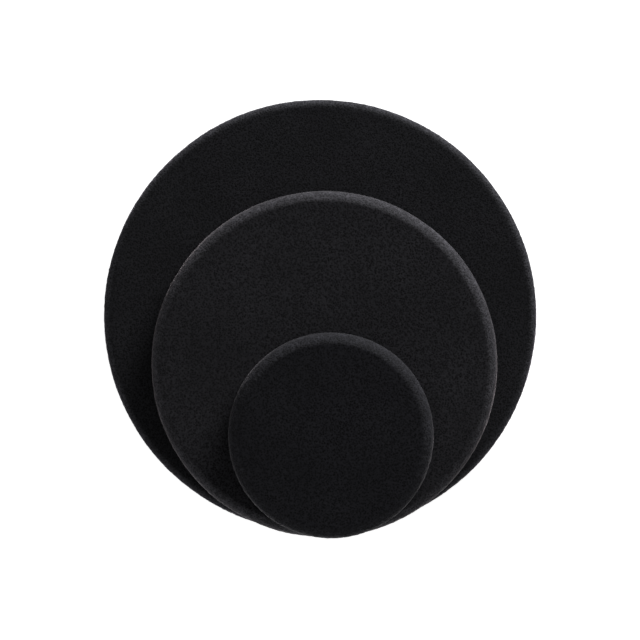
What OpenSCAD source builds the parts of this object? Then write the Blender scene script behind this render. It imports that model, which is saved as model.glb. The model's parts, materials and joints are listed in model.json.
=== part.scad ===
// Set of three round foam polishing pads for a rotary or orbital car polisher.
// Each pad is a foam disc with a loop backing glued to its underside, and the
// three are stored in a stack, the smallest on top. The origin is the centre of
// the large pad's underside, +Z is up and -Y is the side that the smaller pads
// are pushed towards.

/* [Large pad] */
// Diameter of the foam disc
large_d = 165; // [155:1:180]
// Diameter of the backing, which is the size of the machine's hook plate
large_backing_d = 150; // [140:1:152]
// Width of the rounded shoulder around the polishing face
large_shoulder_w = 2.4; // [2:0.1:5]

/* [Middle pad] */
// Diameter of the foam disc
middle_d = 130; // [126:1:140]
// Diameter of the backing, which is the size of the machine's hook plate
middle_backing_d = 125; // [115:1:125]
// Width of the rounded shoulder around the polishing face
middle_shoulder_w = 3.8; // [2:0.1:5]
// Place in the stack along X, from the large pad's centre
middle_x = 1.6; // [-5:0.1:5]
// Place in the stack along Y, from the large pad's centre
middle_y = -18.1; // [-20:0.1:0]

/* [Small pad] */
// Diameter of the foam disc
small_d = 76; // [75:1:90]
// Diameter of the backing, which is the size of the machine's hook plate
small_backing_d = 74; // [66:1:74]
// Width of the rounded shoulder around the polishing face
small_shoulder_w = 4; // [2:0.1:5]
// Place in the stack along X, from the large pad's centre
small_x = 4; // [-8:0.1:8]
// Place in the stack along Y, from the large pad's centre
small_y = -44.3; // [-48:0.1:-20]

/* [Layers] */
// Thickness of the foam
foam_t = 25; // [18:1:35]
// Thickness of the hot-melt film that holds the backing to the foam
film_t = 0.3; // [0.2:0.1:0.5]
// Thickness of the knitted ground cloth of the backing
cloth_t = 0.7; // [0.5:0.1:1]
// Height of the loops that stand on the ground cloth
pile_t = 1.5; // [1:0.1:2.5]
// Gap between two pads in the stack, where only a few loop tips touch the face
stack_gap = 0.1; // [0.05:0.05:0.3]

/* [Edges] */
// Height of the tapered part of the wall, from the backing up
taper_h = 8; // [4:0.5:10]
// Slope at which the shoulder leaves the polishing face, in degrees
crease = 25; // [0:1:40]
// How far the foam's underside stands out past the backing
foam_lip = 0.5; // [0.3:0.1:1]
// How far the film stops short of the edge of the backing
film_setback = 1; // [0.5:0.5:3]
// How far the loops stop short of the edge of the ground cloth
pile_setback = 0.4; // [0.2:0.1:1]

/* [Hidden] */
$fn = 128;

// Heights of the layers in one pad, from its underside
cloth_z = pile_t;
film_z = cloth_z + cloth_t;
foam_z = film_z + film_t;
pad_t = foam_z + foam_t;

// Place of each pad's underside
stack_step = pad_t + stack_gap;
large_at = [0, 0, 0];
middle_at = [middle_x, middle_y, stack_step];
small_at = [small_x, small_y, 2 * stack_step];

// Half outline of a foam disc: tapered and straight wall, arc shoulder, flat face.
// The arc stands upright on the wall and meets the face at the crease.
module foam_outline(d, backing_d, shoulder_w) {
    r = d / 2;
    back_r = backing_d / 2 + foam_lip;
    arc_r = shoulder_w / (1 - sin(crease));
    arc_z = foam_t - arc_r * cos(crease);
    polygon([[0, 0], [back_r, 0], [r, taper_h], [r, arc_z], [0, arc_z]]);
    translate([0, arc_z]) square([r - arc_r, foam_t - arc_z]);
    intersection() {
        translate([r - arc_r, arc_z]) circle(arc_r);
        translate([r - arc_r, arc_z]) square([arc_r, foam_t - arc_z]);
    }
}

module foam_disc(d, backing_d, shoulder_w) {
    color("#1b1b1d")
        translate([0, 0, foam_z])
        rotate_extrude() foam_outline(d, backing_d, shoulder_w);
}

module glue_film(backing_d) {
    color("#b9b4a4")
        translate([0, 0, film_z]) cylinder(d = backing_d - 2 * film_setback, h = film_t);
}

module backing_cloth(backing_d) {
    color("#2b2b2e")
        translate([0, 0, cloth_z]) cylinder(d = backing_d, h = cloth_t);
}

module loop_pile(backing_d) {
    color("#3a3a3e")
        cylinder(d = backing_d - 2 * pile_setback, h = pile_t);
}

translate(large_at) foam_disc(large_d, large_backing_d, large_shoulder_w);  // large_foam
translate(large_at) glue_film(large_backing_d);  // large_glue_film
translate(large_at) backing_cloth(large_backing_d);  // large_backing_cloth
translate(large_at) loop_pile(large_backing_d);  // large_loop_pile

translate(middle_at) foam_disc(middle_d, middle_backing_d, middle_shoulder_w);  // middle_foam
translate(middle_at) glue_film(middle_backing_d);  // middle_glue_film
translate(middle_at) backing_cloth(middle_backing_d);  // middle_backing_cloth
translate(middle_at) loop_pile(middle_backing_d);  // middle_loop_pile

translate(small_at) foam_disc(small_d, small_backing_d, small_shoulder_w);  // small_foam
translate(small_at) glue_film(small_backing_d);  // small_glue_film
translate(small_at) backing_cloth(small_backing_d);  // small_backing_cloth
translate(small_at) loop_pile(small_backing_d);  // small_loop_pile
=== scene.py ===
import json
import math

import bpy
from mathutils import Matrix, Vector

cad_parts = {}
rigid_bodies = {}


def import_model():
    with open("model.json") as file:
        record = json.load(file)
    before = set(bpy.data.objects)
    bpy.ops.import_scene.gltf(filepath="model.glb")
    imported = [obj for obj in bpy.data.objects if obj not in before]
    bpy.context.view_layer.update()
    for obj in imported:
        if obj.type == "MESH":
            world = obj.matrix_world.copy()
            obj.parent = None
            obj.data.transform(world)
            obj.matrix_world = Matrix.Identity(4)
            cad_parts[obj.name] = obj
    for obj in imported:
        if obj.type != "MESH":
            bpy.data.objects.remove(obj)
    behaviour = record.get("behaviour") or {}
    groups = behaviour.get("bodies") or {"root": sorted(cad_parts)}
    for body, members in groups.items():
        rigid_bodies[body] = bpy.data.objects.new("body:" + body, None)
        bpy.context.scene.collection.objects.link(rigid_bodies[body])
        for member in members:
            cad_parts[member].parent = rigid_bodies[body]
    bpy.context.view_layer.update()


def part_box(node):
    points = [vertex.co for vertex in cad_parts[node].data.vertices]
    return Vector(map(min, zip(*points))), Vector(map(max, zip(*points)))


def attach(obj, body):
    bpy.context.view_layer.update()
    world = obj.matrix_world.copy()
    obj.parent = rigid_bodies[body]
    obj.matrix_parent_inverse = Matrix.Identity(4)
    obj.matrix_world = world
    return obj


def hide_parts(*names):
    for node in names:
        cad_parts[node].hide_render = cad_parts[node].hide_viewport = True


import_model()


# ------------------------------------------------------------ camera and stand
# The camera hangs straight over the stack, far enough off that each pad hides its
# own side wall. It looks down, with the back of the stack at the top of the view.
CAMERA_OVER = (-0.00006, -0.00154)
CAMERA_HEIGHT = 1.7225
VIEW_HEIGHT = 0.0225  # the level at which the view is as wide as VIEW_WIDTH
VIEW_WIDTH = 0.2445
SENSOR_WIDTH = 36

bpy.ops.object.select_all(action="DESELECT")
bpy.ops.object.camera_add(location=(*CAMERA_OVER, CAMERA_HEIGHT), rotation=(0, 0, 0))
camera = bpy.context.object
camera.data.sensor_width = SENSOR_WIDTH
camera.data.lens = SENSOR_WIDTH * (CAMERA_HEIGHT - VIEW_HEIGHT) / VIEW_WIDTH
bpy.context.scene.camera = camera


# ------------------------------------------------------------------ foam discs
# Each pad is a disc of black open-cell polyurethane foam, cut from a slab and then
# ground on a spindle: a flat face, a rounded shoulder that starts at a soft crease,
# a straight wall, and a taper down to the backing.
PADS = ("large", "middle", "small")
TAPER_HEIGHT = 0.008
FOAM_LIP = 0.0005  # how far the foam's underside reaches past its backing
FOAM_SIDES = 256
CREASE = {"large": math.radians(10), "middle": math.radians(25), "small": math.radians(25)}
SHOULDER_WIDTH = {"large": 0.0026, "middle": 0.0038, "small": 0.0038}
SHOULDER_STEPS = 10
FOAM_CELL = {"large": 0.00066, "middle": 0.00054, "small": 0.00045}  # mesh spacing
LEVEL_WITHIN = 0.0001  # a face this near the underside is part of it
GLUED_INSET = 0.003  # how far from its rim the underside becomes one face
UNEVENNESS_DEPTH = 0.00025
PORE_DEPTH = 0.00007
STRUT_DEPTH = 0.00004
GRINDING_DEPTH = 0.0003
PORE_SCALE = 1400  # cells in a metre of the material's pattern
GRAIN_SCALE = 1050
PORE_SHARE = 0.65  # the grain has the rest of the tone
PATCH_SHADE = 0.8
GRAIN_BUMP = 0.00012
PORE_BUMP = 0.0002
FOAM_COLOUR = {
    "large": (0.0073, 0.0073, 0.0083),
    "middle": (0.0098, 0.0096, 0.0109),
    "small": (0.0064, 0.0064, 0.0076),
}
FACE_SHEEN_TINT = (0.94, 0.94, 1.0)
EDGE_SHEEN_TINT = {
    "large": (0.95, 0.86, 1.0),
    "middle": (1.0, 0.88, 0.92),
    "small": (1.0, 0.94, 1.0),
}


def round_place(node):
    """Centre x and y, underside, top and radius of a round CAD node."""
    low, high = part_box(node)
    centre = (low + high) / 2
    return centre.x, centre.y, low.z, high.z, (high.x - low.x) / 2


def start_piece(name):
    """Names the primitive just added and turns its place into mesh."""
    piece = bpy.context.object
    piece.name = name
    piece.data.name = name
    bpy.ops.object.transform_apply(location=True, rotation=True, scale=True)
    return piece


def turned_body(name, x, y, rings, sides):
    """A closed round body, drawn up from its underside as rings of (radius, height)."""
    bpy.ops.object.select_all(action="DESELECT")
    radius, height = rings[0]
    bpy.ops.mesh.primitive_circle_add(
        vertices=sides, radius=radius, fill_type="NGON", location=(x, y, height)
    )
    body = start_piece(name)
    bpy.ops.object.mode_set(mode="EDIT")
    bpy.ops.mesh.select_all(action="SELECT")
    for next_radius, next_height in rings[1:]:
        bpy.ops.mesh.extrude_region_move(
            TRANSFORM_OT_translate={"value": (0, 0, next_height - height)}
        )
        grow = next_radius / radius
        bpy.ops.transform.resize(
            value=(grow, grow, 1), center_override=(x, y, next_height)
        )
        radius, height = next_radius, next_height
    bpy.ops.mesh.select_all(action="SELECT")
    bpy.ops.mesh.remove_doubles(threshold=1e-7)
    bpy.ops.mesh.normals_make_consistent(inside=False)
    bpy.ops.object.mode_set(mode="OBJECT")
    return body


def keep_modifier(modifier):
    """Applies a modifier to the active piece."""
    bpy.ops.object.modifier_apply(modifier=modifier.name)


def press_in(piece, texture, depth, group=""):
    """Raises or sinks the surface by up to about half of depth, as the texture says."""
    modifier = piece.modifiers.new("press_in", "DISPLACE")
    modifier.texture = texture
    modifier.texture_coords = "LOCAL"
    modifier.vertex_group = group
    modifier.mid_level = 0.5
    modifier.strength = depth
    keep_modifier(modifier)


def foam_rings(node, backing_node, shoulder_width, crease):
    """The foam's outline, from its underside up to the polishing face."""
    bottom, top, radius = round_place(node)[2:]
    backing_radius = round_place(backing_node)[4]
    arc = shoulder_width / (1 - math.sin(crease))
    arc_height = top - arc * math.cos(crease)
    rings = [(backing_radius + FOAM_LIP, bottom), (radius, bottom + TAPER_HEIGHT)]
    for step in range(SHOULDER_STEPS + 1):
        angle = (math.pi / 2 - crease) * step / SHOULDER_STEPS
        ring = (radius - arc + arc * math.cos(angle), arc_height + arc * math.sin(angle))
        rings.append(ring)
    return rings


def choose(piece, kind, wanted):
    """Selects, ready for edit mode, the points or faces that wanted says yes to."""
    bpy.ops.object.mode_set(mode="EDIT")
    bpy.ops.mesh.select_mode(type=kind)
    bpy.ops.mesh.select_all(action="DESELECT")
    bpy.ops.object.mode_set(mode="OBJECT")
    if kind == "VERT":
        for point in piece.data.vertices:
            point.select = wanted(point.co)
    else:
        for face in piece.data.polygons:
            face.select = wanted(face.center)


def flatten_hidden_side(piece, x, y, height, radius):
    """Turns the glued side, which nobody sees, into one face."""

    def glued(place):
        level = abs(place.z - height) < LEVEL_WITHIN
        return level and math.hypot(place.x - x, place.y - y) < radius

    choose(piece, "FACE", glued)
    bpy.ops.object.mode_set(mode="EDIT")
    bpy.ops.mesh.dissolve_faces()
    bpy.ops.object.mode_set(mode="OBJECT")


unevenness = bpy.data.textures.new("foam_unevenness", "CLOUDS")
unevenness.noise_scale = 0.022
unevenness.noise_depth = 1

pores = bpy.data.textures.new("foam_pores", "VORONOI")
pores.noise_scale = 0.0011
pores.noise_intensity = 1.3

struts = bpy.data.textures.new("foam_struts", "CLOUDS")
struts.noise_scale = 0.0006
struts.noise_depth = 0

grinding = bpy.data.textures.new("foam_grinding", "CLOUDS")
grinding.noise_scale = 0.0015
grinding.noise_depth = 2


def new_material(name):
    """A material with its node tree, and the shader at its end."""
    material = bpy.data.materials.new(name)
    material.use_nodes = True
    shader = material.node_tree.nodes["Principled BSDF"]
    return material, material.node_tree, shader


def place_node(tree, scale=(1, 1, 1), location=(0, 0, 0)):
    """Object coordinates through a mapping."""
    where = tree.nodes.new("ShaderNodeTexCoord")
    mapping = tree.nodes.new("ShaderNodeMapping")
    mapping.inputs["Scale"].default_value = scale
    mapping.inputs["Location"].default_value = location
    tree.links.new(where.outputs["Object"], mapping.inputs["Vector"])
    return mapping.outputs["Vector"]


def voronoi_node(tree, vector, scale):
    """A pattern of cells: how far a place is from the middle of its cell."""
    node = tree.nodes.new("ShaderNodeTexVoronoi")
    node.inputs["Scale"].default_value = scale
    tree.links.new(vector, node.inputs["Vector"])
    return node.outputs["Distance"]


def noise_node(tree, vector, scale, detail=2.0, roughness=0.5):
    """A cloudy pattern."""
    node = tree.nodes.new("ShaderNodeTexNoise")
    node.inputs["Scale"].default_value = scale
    node.inputs["Detail"].default_value = detail
    node.inputs["Roughness"].default_value = roughness
    tree.links.new(vector, node.inputs["Vector"])
    return node.outputs["Fac"]


def range_node(tree, value, low, high, to_low, to_high):
    """Spreads value from one range to another, and stops at its ends."""
    node = tree.nodes.new("ShaderNodeMapRange")
    node.inputs["From Min"].default_value = low
    node.inputs["From Max"].default_value = high
    node.inputs["To Min"].default_value = to_low
    node.inputs["To Max"].default_value = to_high
    tree.links.new(value, node.inputs["Value"])
    return node.outputs["Result"]


def math_node(tree, kind, first, second):
    """One sum on two values, each a socket or a number."""
    node = tree.nodes.new("ShaderNodeMath")
    node.operation = kind
    for socket, value in zip(node.inputs, (first, second)):
        if isinstance(value, (int, float)):
            socket.default_value = value
        else:
            tree.links.new(value, socket)
    return node.outputs["Value"]


def colour_mix(tree, factor, first, second):
    """Blends two colours, each a socket or three numbers."""
    node = tree.nodes.new("ShaderNodeMix")
    node.data_type = "RGBA"
    tree.links.new(factor, node.inputs["Factor"])
    sockets = [s for s in node.inputs if s.type == "RGBA"]
    for socket, colour in zip(sockets, (first, second)):
        if isinstance(colour, tuple):
            socket.default_value = (*colour, 1)
        else:
            tree.links.new(colour, socket)
    return [s for s in node.outputs if s.type == "RGBA"][0]


def bump_node(tree, height, strength, distance, before=None):
    """Fine relief in the shading, on top of the relief before it."""
    node = tree.nodes.new("ShaderNodeBump")
    node.inputs["Strength"].default_value = strength
    node.inputs["Distance"].default_value = distance
    tree.links.new(height, node.inputs["Height"])
    if before is not None:
        tree.links.new(before, node.inputs["Normal"])
    return node.outputs["Normal"]


def distance_node(tree, x, y):
    """How far a place is from the upright line through x and y."""
    flat = place_node(tree, scale=(1, 1, 0), location=(-x, -y, 0))
    node = tree.nodes.new("ShaderNodeVectorMath")
    node.operation = "LENGTH"
    tree.links.new(flat, node.inputs[0])
    return node.outputs["Value"]


def shade(colour, factor):
    """A colour made darker or lighter."""
    return tuple(channel * factor for channel in colour)


def foam_material(name, colour, sheen_tint, finish):
    """Black foam: dark pores in lighter struts, with faint cloudy patches."""
    material, tree, shader = new_material(name)
    vector = place_node(tree)
    pore = voronoi_node(tree, vector, PORE_SCALE)
    pore_light = range_node(tree, pore, 0.2, 0.65, 0.0, 1.0)
    grain = noise_node(tree, vector, GRAIN_SCALE, 2, 0.6)
    grain_light = range_node(tree, grain, 0.35, 0.65, 0.0, 1.0)
    pore_part = math_node(tree, "MULTIPLY", pore_light, PORE_SHARE)
    grain_part = math_node(tree, "MULTIPLY", grain_light, 1 - PORE_SHARE)
    both = math_node(tree, "ADD", pore_part, grain_part)
    dark, light = finish["tones"]
    base = colour_mix(tree, both, shade(colour, dark), shade(colour, light))
    cloud = noise_node(tree, vector, finish["patches"], 3)
    patches = range_node(tree, cloud, 0.3, 0.7, 0.0, finish["patch_share"])
    toned = colour_mix(tree, patches, base, shade(colour, PATCH_SHADE))
    tree.links.new(toned, shader.inputs["Base Color"])
    low_rough, high_rough = finish["roughness"]
    rough = range_node(tree, grain, 0.3, 0.7, low_rough, high_rough)
    tree.links.new(rough, shader.inputs["Roughness"])
    shader.inputs["Specular IOR Level"].default_value = finish["specular"]
    shader.inputs["Sheen Weight"].default_value = finish["sheen"]
    shader.inputs["Sheen Roughness"].default_value = finish["sheen_roughness"]
    shader.inputs["Sheen Tint"].default_value = (*sheen_tint, 1)
    fine = bump_node(tree, grain, 0.3, GRAIN_BUMP)
    relief = bump_node(tree, pore, finish["pore_relief"], PORE_BUMP, fine)
    tree.links.new(relief, shader.inputs["Normal"])
    return material


def lighten_ground_cells_and_sheen(material, x, y, inner, outer, lighter):
    """Lightens ground foam outwards: partly the lighter cells that grinding opened, partly
    a painted sheen.
    """
    tree = material.node_tree
    shader = tree.nodes["Principled BSDF"]
    plain = shader.inputs["Base Color"].links[0].from_socket
    spread = range_node(tree, distance_node(tree, x, y), inner, outer, 1.0, lighter)
    node = tree.nodes.new("ShaderNodeVectorMath")
    node.operation = "SCALE"
    tree.links.new(plain, node.inputs["Vector"])
    tree.links.new(spread, node.inputs["Scale"])
    tree.links.new(node.outputs["Vector"], shader.inputs["Base Color"])


FACE_FINISH = {
    "tones": (0.0, 3.1),
    "patches": 45,
    "patch_share": 0.35,
    "roughness": (0.86, 1.0),
    "specular": 0.12,
    "sheen_roughness": 0.35,
    "pore_relief": 0.3,
}
EDGE_FINISH = {
    "tones": (0.0, 3.7),
    "patches": 420,
    "patch_share": 0.7,
    "roughness": (0.8, 0.95),
    "specular": 0.15,
    "sheen_roughness": 0.3,
    "pore_relief": 1.0,
}
FACE_SHEEN = {"large": 0.3, "middle": 0.3, "small": 0.18}
EDGE_SHEEN = {"large": 0.4, "middle": 0.2, "small": 0.1}
# How much lighter each pad's ground edge grows at its outside: partly opened cells, partly
# painted sheen.
EDGE_CELLS_AND_SHEEN_LIGHTER = {"large": 3.3, "middle": 3.0, "small": 1.8}


def foam_disc(pad):
    """Builds the foam of one pad."""
    foam_node, cloth_node = f"{pad}_foam", f"{pad}_backing_cloth"
    x, y, bottom, top, radius = round_place(foam_node)
    rings = foam_rings(foam_node, cloth_node, SHOULDER_WIDTH[pad], CREASE[pad])
    piece = turned_body(f"{pad}_foam_disc", x, y, rings, FOAM_SIDES)
    even = piece.modifiers.new("even_mesh", "REMESH")
    even.mode = "VOXEL"
    even.voxel_size = FOAM_CELL[pad]
    keep_modifier(even)
    flatten_hidden_side(piece, x, y, bottom, rings[0][0] - GLUED_INSET)
    press_in(piece, unevenness, UNEVENNESS_DEPTH)
    press_in(piece, pores, PORE_DEPTH)
    press_in(piece, struts, STRUT_DEPTH)
    crease_radius = radius - SHOULDER_WIDTH[pad]

    def is_ground(place):
        """Whether a place is on the shoulder, the wall or the taper."""
        below_face = place.z < top - SHOULDER_WIDTH[pad]
        return below_face or math.hypot(place.x - x, place.y - y) > crease_radius

    ground = piece.vertex_groups.new(name="ground_edge")
    for point in piece.data.vertices:
        if is_ground(point.co):
            ground.add([point.index], 1, "REPLACE")
    press_in(piece, grinding, GRINDING_DEPTH, "ground_edge")
    bpy.ops.object.shade_smooth()
    colour, tint = FOAM_COLOUR[pad], EDGE_SHEEN_TINT[pad]
    face_finish = {**FACE_FINISH, "sheen": FACE_SHEEN[pad]}
    edge_finish = {**EDGE_FINISH, "sheen": EDGE_SHEEN[pad]}
    face_material = foam_material(f"{pad}_foam_face", colour, FACE_SHEEN_TINT, face_finish)
    edge_material = foam_material(f"{pad}_foam_edge", colour, tint, edge_finish)
    # Painted sheen: the edge's colour grows lighter towards the rim, partly for cells
    # opened by grinding.
    lighten_ground_cells_and_sheen(edge_material, x, y, crease_radius, radius, EDGE_CELLS_AND_SHEEN_LIGHTER[pad])
    piece.data.materials.clear()
    piece.data.materials.append(face_material)
    piece.data.materials.append(edge_material)
    for face in piece.data.polygons:
        face.material_index = int(is_ground(face.center))
    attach(piece, f"{pad}_pad")
    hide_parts(foam_node)


for pad in PADS:
    foam_disc(pad)


# ------------------------------------------------------------------ glue films
# A hot-melt film is ironed between the foam and its backing. It is thin, stiff and
# glossy, and its squeezed-out edge runs in and out a little.
FILM_SIDES = 360
FILM_WANDER = 0.0008
FILM_HAZE_SCALE = 260
FILM_DARK = (0.30, 0.27, 0.20)
FILM_LIGHT = (0.50, 0.47, 0.38)


def wander(piece, texture, reach, group=""):
    """Pushes a piece sideways by up to half of reach, along X and along Y."""
    for direction in ("X", "Y"):
        modifier = piece.modifiers.new("wander", "DISPLACE")
        modifier.texture = texture
        modifier.texture_coords = "LOCAL"
        modifier.direction = direction
        modifier.vertex_group = group
        modifier.strength = reach
        keep_modifier(modifier)


squeeze = bpy.data.textures.new("film_squeeze", "CLOUDS")
squeeze.noise_scale = 0.004
squeeze.noise_depth = 2

film_material, film_tree, film_shader = new_material("hot_melt_film")
film_where = place_node(film_tree)
film_haze = noise_node(film_tree, film_where, FILM_HAZE_SCALE, 3)
film_colour = colour_mix(film_tree, film_haze, FILM_DARK, FILM_LIGHT)
film_tree.links.new(film_colour, film_shader.inputs["Base Color"])
film_rough = range_node(film_tree, film_haze, 0.3, 0.7, 0.12, 0.4)
film_tree.links.new(film_rough, film_shader.inputs["Roughness"])
film_bump = bump_node(film_tree, film_haze, 0.5, 0.0002)
film_tree.links.new(film_bump, film_shader.inputs["Normal"])

for pad in PADS:
    film_node = f"{pad}_glue_film"
    x, y, bottom, top, radius = round_place(film_node)
    bead = (top - bottom) / 3
    film_edge = [
        (radius - bead, bottom),
        (radius, bottom + bead),
        (radius, top - bead),
        (radius - bead, top),
    ]
    film = turned_body(f"{pad}_hot_melt_film", x, y, film_edge, FILM_SIDES)
    wander(film, squeeze, FILM_WANDER)
    bpy.ops.object.shade_smooth_by_angle(angle=math.radians(35))
    film.data.materials.append(film_material)
    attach(film, f"{pad}_pad")
    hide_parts(film_node)


# -------------------------------------------------------------- backing cloths
# The ground cloth of the hook-and-loop backing is warp-knitted polyester, cut to a
# disc by a die. Its edge is a little soft, and fine ribs run across it.
RIB_SPACING = 0.00085
CLOTH_SIDES = 720
CLOTH_WANDER = 0.0005
CLOTH_FUZZ_SCALE = 1500
CLOTH_DARK = (0.012, 0.012, 0.014)
CLOTH_LIGHT = (0.075, 0.075, 0.083)

cloth_fray = bpy.data.textures.new("cloth_fray", "CLOUDS")
cloth_fray.noise_scale = 0.0015
cloth_fray.noise_depth = 1

cloth_material, cloth_tree, cloth_shader = new_material("ground_cloth")
cloth_where = place_node(cloth_tree)
rib_wave = cloth_tree.nodes.new("ShaderNodeTexWave")
rib_wave.wave_type = "BANDS"
rib_wave.bands_direction = "X"
rib_wave.inputs["Scale"].default_value = math.pi / (10 * RIB_SPACING)
rib_wave.inputs["Distortion"].default_value = 1.2
rib_wave.inputs["Detail Scale"].default_value = 3
cloth_tree.links.new(cloth_where, rib_wave.inputs["Vector"])
cloth_fuzz = noise_node(cloth_tree, cloth_where, CLOTH_FUZZ_SCALE, 3, 0.7)
cloth_tone = math_node(cloth_tree, "MULTIPLY", rib_wave.outputs["Fac"], cloth_fuzz)
cloth_colour = colour_mix(cloth_tree, cloth_tone, CLOTH_DARK, CLOTH_LIGHT)
cloth_tree.links.new(cloth_colour, cloth_shader.inputs["Base Color"])
cloth_rough = range_node(cloth_tree, cloth_fuzz, 0.3, 0.7, 0.7, 0.95)
cloth_tree.links.new(cloth_rough, cloth_shader.inputs["Roughness"])
cloth_shader.inputs["Sheen Weight"].default_value = 0.15
cloth_shader.inputs["Sheen Roughness"].default_value = 0.5
cloth_bump = bump_node(cloth_tree, cloth_tone, 0.8, 0.0003)
cloth_tree.links.new(cloth_bump, cloth_shader.inputs["Normal"])

for pad in PADS:
    cloth_node = f"{pad}_backing_cloth"
    x, y, bottom, top, radius = round_place(cloth_node)
    soft = (top - bottom) / 4
    cloth_edge = [
        (radius - soft, bottom),
        (radius, bottom + soft),
        (radius + soft / 3, bottom + 2 * soft),
        (radius, top - soft),
        (radius - soft, top),
    ]
    cloth = turned_body(f"{pad}_ground_cloth", x, y, cloth_edge, CLOTH_SIDES)
    wander(cloth, cloth_fray, CLOTH_WANDER)
    bpy.ops.object.shade_smooth_by_angle(angle=math.radians(50))
    cloth.data.materials.append(cloth_material)
    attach(cloth, f"{pad}_pad")
    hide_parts(cloth_node)


# ------------------------------------------------------------------ loop piles
# Nylon loops are knitted into the ground cloth in staggered rows, for the hooks of
# the machine's plate. Each is an arch of crimped yarn, and they lean as brushed.
LOOP_PITCH = 0.0017
LOOP_WIDTH = 0.001
LOOP_YARN = 0.00022  # radius of the yarn in a loop
LOOP_TURN = math.radians(38)
LOOP_EMBED = 0.0002  # how far a loop's feet reach into the ground cloth
LOOP_STEPS = 5
LOOP_LEAN = 0.0014
LOOP_CRIMP = 0.0007
LOOP_DARK = (0.025, 0.025, 0.028)
LOOP_LIGHT = (0.11, 0.11, 0.12)

loop_lean = bpy.data.textures.new("loop_lean", "CLOUDS")
loop_lean.noise_scale = 0.009
loop_lean.noise_depth = 2
loop_crimp = bpy.data.textures.new("loop_crimp", "CLOUDS")
loop_crimp.noise_scale = 0.0013
loop_crimp.noise_depth = 0

loop_material, loop_tree, loop_shader = new_material("nylon_loops")
loop_where = place_node(loop_tree)
loop_shade = noise_node(loop_tree, loop_where, 420, 2)
loop_colour = colour_mix(loop_tree, loop_shade, LOOP_DARK, LOOP_LIGHT)
loop_tree.links.new(loop_colour, loop_shader.inputs["Base Color"])
loop_fibre = noise_node(loop_tree, loop_where, 6000, 2, 0.6)
loop_rough = range_node(loop_tree, loop_fibre, 0.3, 0.7, 0.35, 0.6)
loop_tree.links.new(loop_rough, loop_shader.inputs["Roughness"])
loop_shader.inputs["Sheen Weight"].default_value = 0.2
loop_bump = bump_node(loop_tree, loop_fibre, 0.5, 0.00006)
loop_tree.links.new(loop_bump, loop_shader.inputs["Normal"])


def one_loop(x, y, low, high):
    """An arch of yarn that hangs from high down to low, both ends closed."""
    bpy.ops.object.select_all(action="DESELECT")
    foot = (x + LOOP_WIDTH / 2, y, high)
    bpy.ops.mesh.primitive_circle_add(vertices=3, radius=LOOP_YARN, location=foot)
    loop = start_piece("loop")
    bpy.ops.object.mode_set(mode="EDIT")
    bpy.ops.mesh.select_mode(type="VERT")
    bpy.ops.mesh.select_all(action="SELECT")
    bpy.ops.mesh.spin(steps=LOOP_STEPS, angle=-math.pi, center=(x, y, high), axis=(0, 1, 0))
    bpy.ops.mesh.select_all(action="DESELECT")
    bpy.ops.mesh.select_non_manifold()
    bpy.ops.mesh.fill_holes(sides=3)
    bpy.ops.mesh.select_all(action="SELECT")
    bpy.ops.mesh.normals_make_consistent(inside=False)
    bpy.ops.object.mode_set(mode="OBJECT")
    lowest = min(point.co.z for point in loop.data.vertices)
    grow = (high - low) / (high - lowest)
    bpy.ops.object.mode_set(mode="EDIT")
    bpy.ops.transform.resize(value=(1, 1, grow), center_override=(x, y, high))
    bpy.ops.object.mode_set(mode="OBJECT")
    return loop


def spread(piece, offset, count):
    """Repeats a piece in a row."""
    row = piece.modifiers.new("row", "ARRAY")
    row.use_relative_offset = False
    row.use_constant_offset = True
    row.constant_offset_displace = offset
    row.count = count
    keep_modifier(row)


def loop_field(pad):
    """Fills one pad's backing with loops, in staggered rows trimmed to the circle."""
    pile_node = f"{pad}_loop_pile"
    x, y, low, high, radius = round_place(pile_node)
    start_x, start_y = x - radius, y - radius
    loop = one_loop(start_x, start_y, low, high + LOOP_EMBED)
    bpy.ops.object.mode_set(mode="EDIT")
    bpy.ops.mesh.select_all(action="SELECT")
    centre = (start_x, start_y, low)
    bpy.ops.transform.rotate(value=LOOP_TURN, orient_axis="Z", center_override=centre)
    bpy.ops.mesh.duplicate_move(
        TRANSFORM_OT_translate={"value": (LOOP_PITCH / 2, LOOP_PITCH, 0)}
    )
    centre = (start_x + LOOP_PITCH / 2, start_y + LOOP_PITCH, low)
    bpy.ops.transform.rotate(
        value=-2 * LOOP_TURN, orient_axis="Z", center_override=centre
    )
    bpy.ops.object.mode_set(mode="OBJECT")
    count = math.ceil(2 * radius / LOOP_PITCH)
    spread(loop, (LOOP_PITCH, 0, 0), count)
    spread(loop, (0, 2 * LOOP_PITCH, 0), math.ceil(count / 2))
    reach = radius - LOOP_WIDTH / 2
    choose(loop, "VERT", lambda at: math.hypot(at.x - x, at.y - y) > reach)
    bpy.ops.object.mode_set(mode="EDIT")
    bpy.ops.mesh.select_linked()
    bpy.ops.mesh.delete(type="VERT")
    bpy.ops.object.mode_set(mode="OBJECT")
    tips = loop.vertex_groups.new(name="tips")
    middle = (low + high) / 2
    tips.add([p.index for p in loop.data.vertices if p.co.z < middle], 1, "REPLACE")
    wander(loop, loop_lean, LOOP_LEAN, "tips")
    wander(loop, loop_crimp, LOOP_CRIMP, "tips")
    bpy.ops.object.shade_smooth()
    loop.name = f"{pad}_nylon_loops"
    loop.data.name = loop.name
    loop.data.materials.append(loop_material)
    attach(loop, f"{pad}_pad")
    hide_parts(pile_node)


for pad in PADS:
    loop_field(pad)


# ------------------------------------------------------------- light and floor
# A soft box and a low strip stand behind the stack and to its right. Four more fill it
# in from above, the front, the left and below. Table and room are white.
TABLE_SIZE = 8
TABLE_WHITE = (0.88, 0.88, 0.88, 1)
TABLE_GLOW = 0.9
ROOM_LIGHT = 0.11
WHITE = (1, 1, 1, 1)

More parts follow.
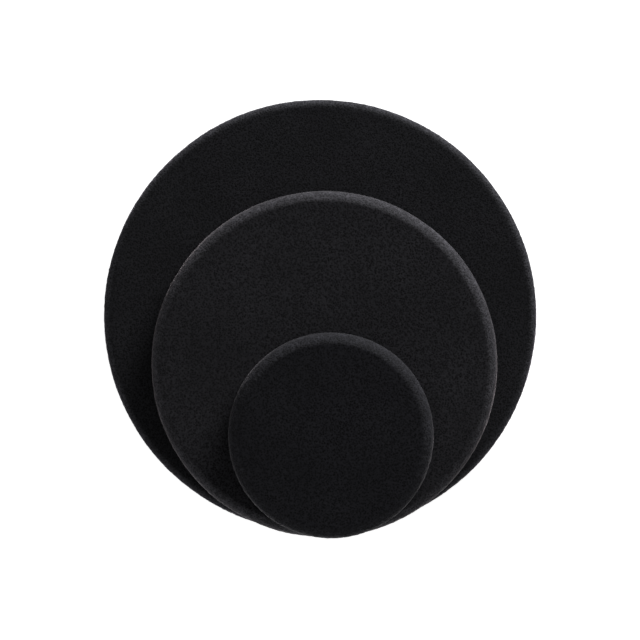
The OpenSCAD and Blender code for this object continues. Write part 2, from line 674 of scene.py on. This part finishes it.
bpy.ops.object.select_all(action="DESELECT")
bpy.ops.mesh.primitive_plane_add(size=TABLE_SIZE, location=(0, 0, 0))
floor = bpy.context.object
floor.name = "floor"
floor_material, floor_tree, floor_shader = new_material("white_table")
floor_shader.inputs["Base Color"].default_value = TABLE_WHITE
floor_shader.inputs["Roughness"].default_value = 0.9
floor_shader.inputs["Emission Color"].default_value = WHITE
floor_shader.inputs["Emission Strength"].default_value = TABLE_GLOW
floor_back = floor_tree.nodes.new("ShaderNodeNewGeometry")
floor_clear = floor_tree.nodes.new("ShaderNodeBsdfTransparent")
floor_sides = floor_tree.nodes.new("ShaderNodeMixShader")
floor_tree.links.new(floor_back.outputs["Backfacing"], floor_sides.inputs["Fac"])
floor_tree.links.new(floor_shader.outputs["BSDF"], floor_sides.inputs[1])
floor_tree.links.new(floor_clear.outputs["BSDF"], floor_sides.inputs[2])
floor_end = floor_tree.nodes["Material Output"]
floor_tree.links.new(floor_sides.outputs["Shader"], floor_end.inputs["Surface"])
floor.data.materials.append(floor_material)
floor.visible_diffuse = False
floor.visible_glossy = False
floor.visible_shadow = False


def soft_box(name, turn, elevation, away, width, height, power):
    """A soft box that faces the stack, turned from the back towards the right."""
    turn, elevation = math.radians(turn), math.radians(elevation)
    flat = away * math.cos(elevation)
    place = (flat * math.sin(turn), flat * math.cos(turn), away * math.sin(elevation))
    bpy.ops.object.light_add(type="AREA", location=place)
    light = bpy.context.object
    light.name = name
    light.rotation_euler = (elevation - math.pi / 2, 0, -turn)
    light.data.shape = "RECTANGLE"
    light.data.size = width
    light.data.size_y = height
    light.data.energy = power
    light.visible_camera = False


# name, turn and elevation in degrees, distance, width and height in metres, watts
soft_box("key_soft_box", 29, 43, 1.3, 0.45, 0.45, 6.0)
soft_box("low_strip", 26, 5, 1.3, 0.4, 0.2, 18)
soft_box("overhead_soft_box", 0, 90, 1.9, 0.6, 0.6, 3.0)
soft_box("front_fill", 190, 8, 1.5, 1.0, 0.4, 5.0)
soft_box("left_fill", 265, 8, 1.5, 1.0, 0.4, 1.2)
soft_box("underside_fill", 180, -60, 1.2, 0.8, 0.8, 8.0)

world = bpy.data.worlds.new("white_room")
bpy.context.scene.world = world
world.use_nodes = True
room_light = world.node_tree.nodes["Background"]
room_light.inputs["Color"].default_value = WHITE
room_light.inputs["Strength"].default_value = ROOM_LIGHT
room_wall = world.node_tree.nodes.new("ShaderNodeBackground")
room_wall.inputs["Color"].default_value = WHITE
seen = world.node_tree.nodes.new("ShaderNodeLightPath")
room = world.node_tree.nodes.new("ShaderNodeMixShader")
world.node_tree.links.new(seen.outputs["Is Camera Ray"], room.inputs["Fac"])
world.node_tree.links.new(room_light.outputs["Background"], room.inputs[1])
world.node_tree.links.new(room_wall.outputs["Background"], room.inputs[2])
room_end = world.node_tree.nodes["World Output"]
world.node_tree.links.new(room.outputs["Shader"], room_end.inputs["Surface"])

bpy.context.scene.view_settings.view_transform = "Standard"
